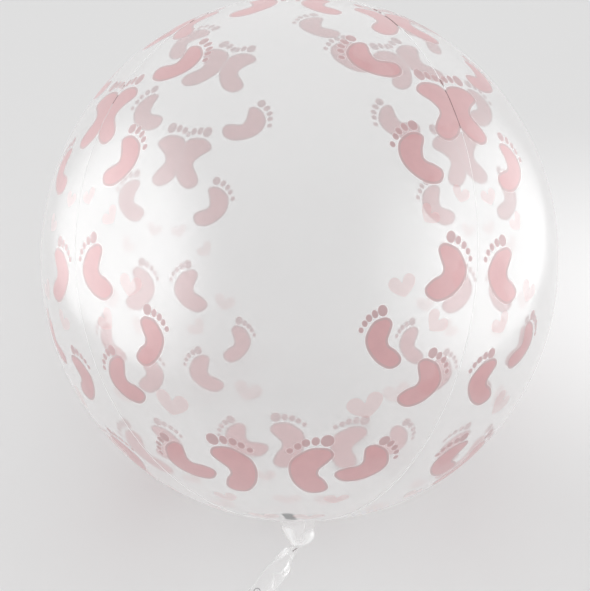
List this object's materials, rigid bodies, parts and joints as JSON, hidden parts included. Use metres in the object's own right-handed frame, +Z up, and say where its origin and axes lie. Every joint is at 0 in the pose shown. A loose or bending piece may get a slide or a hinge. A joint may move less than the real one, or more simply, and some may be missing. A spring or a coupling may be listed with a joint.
{
  "type": "clear round balloon",
  "caption": "Inflated clear round balloon of welded film gores with a printed pattern, lying on a small flat spot, its pinched neck and flat filling tail down in front.",
  "frame": {"origin": "middle of the flat spot the balloon lies on", "axes": "+Z up, -Y towards the neck's side, which is the front; the neck points 45 degrees below the horizontal, towards -Y"},
  "size_m": [0.3996, 0.4298, 0.4],
  "materials": {
    "clear_film": "thin clear glossy film with dusty pink printed footprints and paler hearts",
    "sleeve_film": "two layers of the same clear film, flat and creased"
  },
  "bodies": {
    "root": {"envelope": "clear_film", "filling_sleeve": "sleeve_film"}
  },
  "joints": []
}
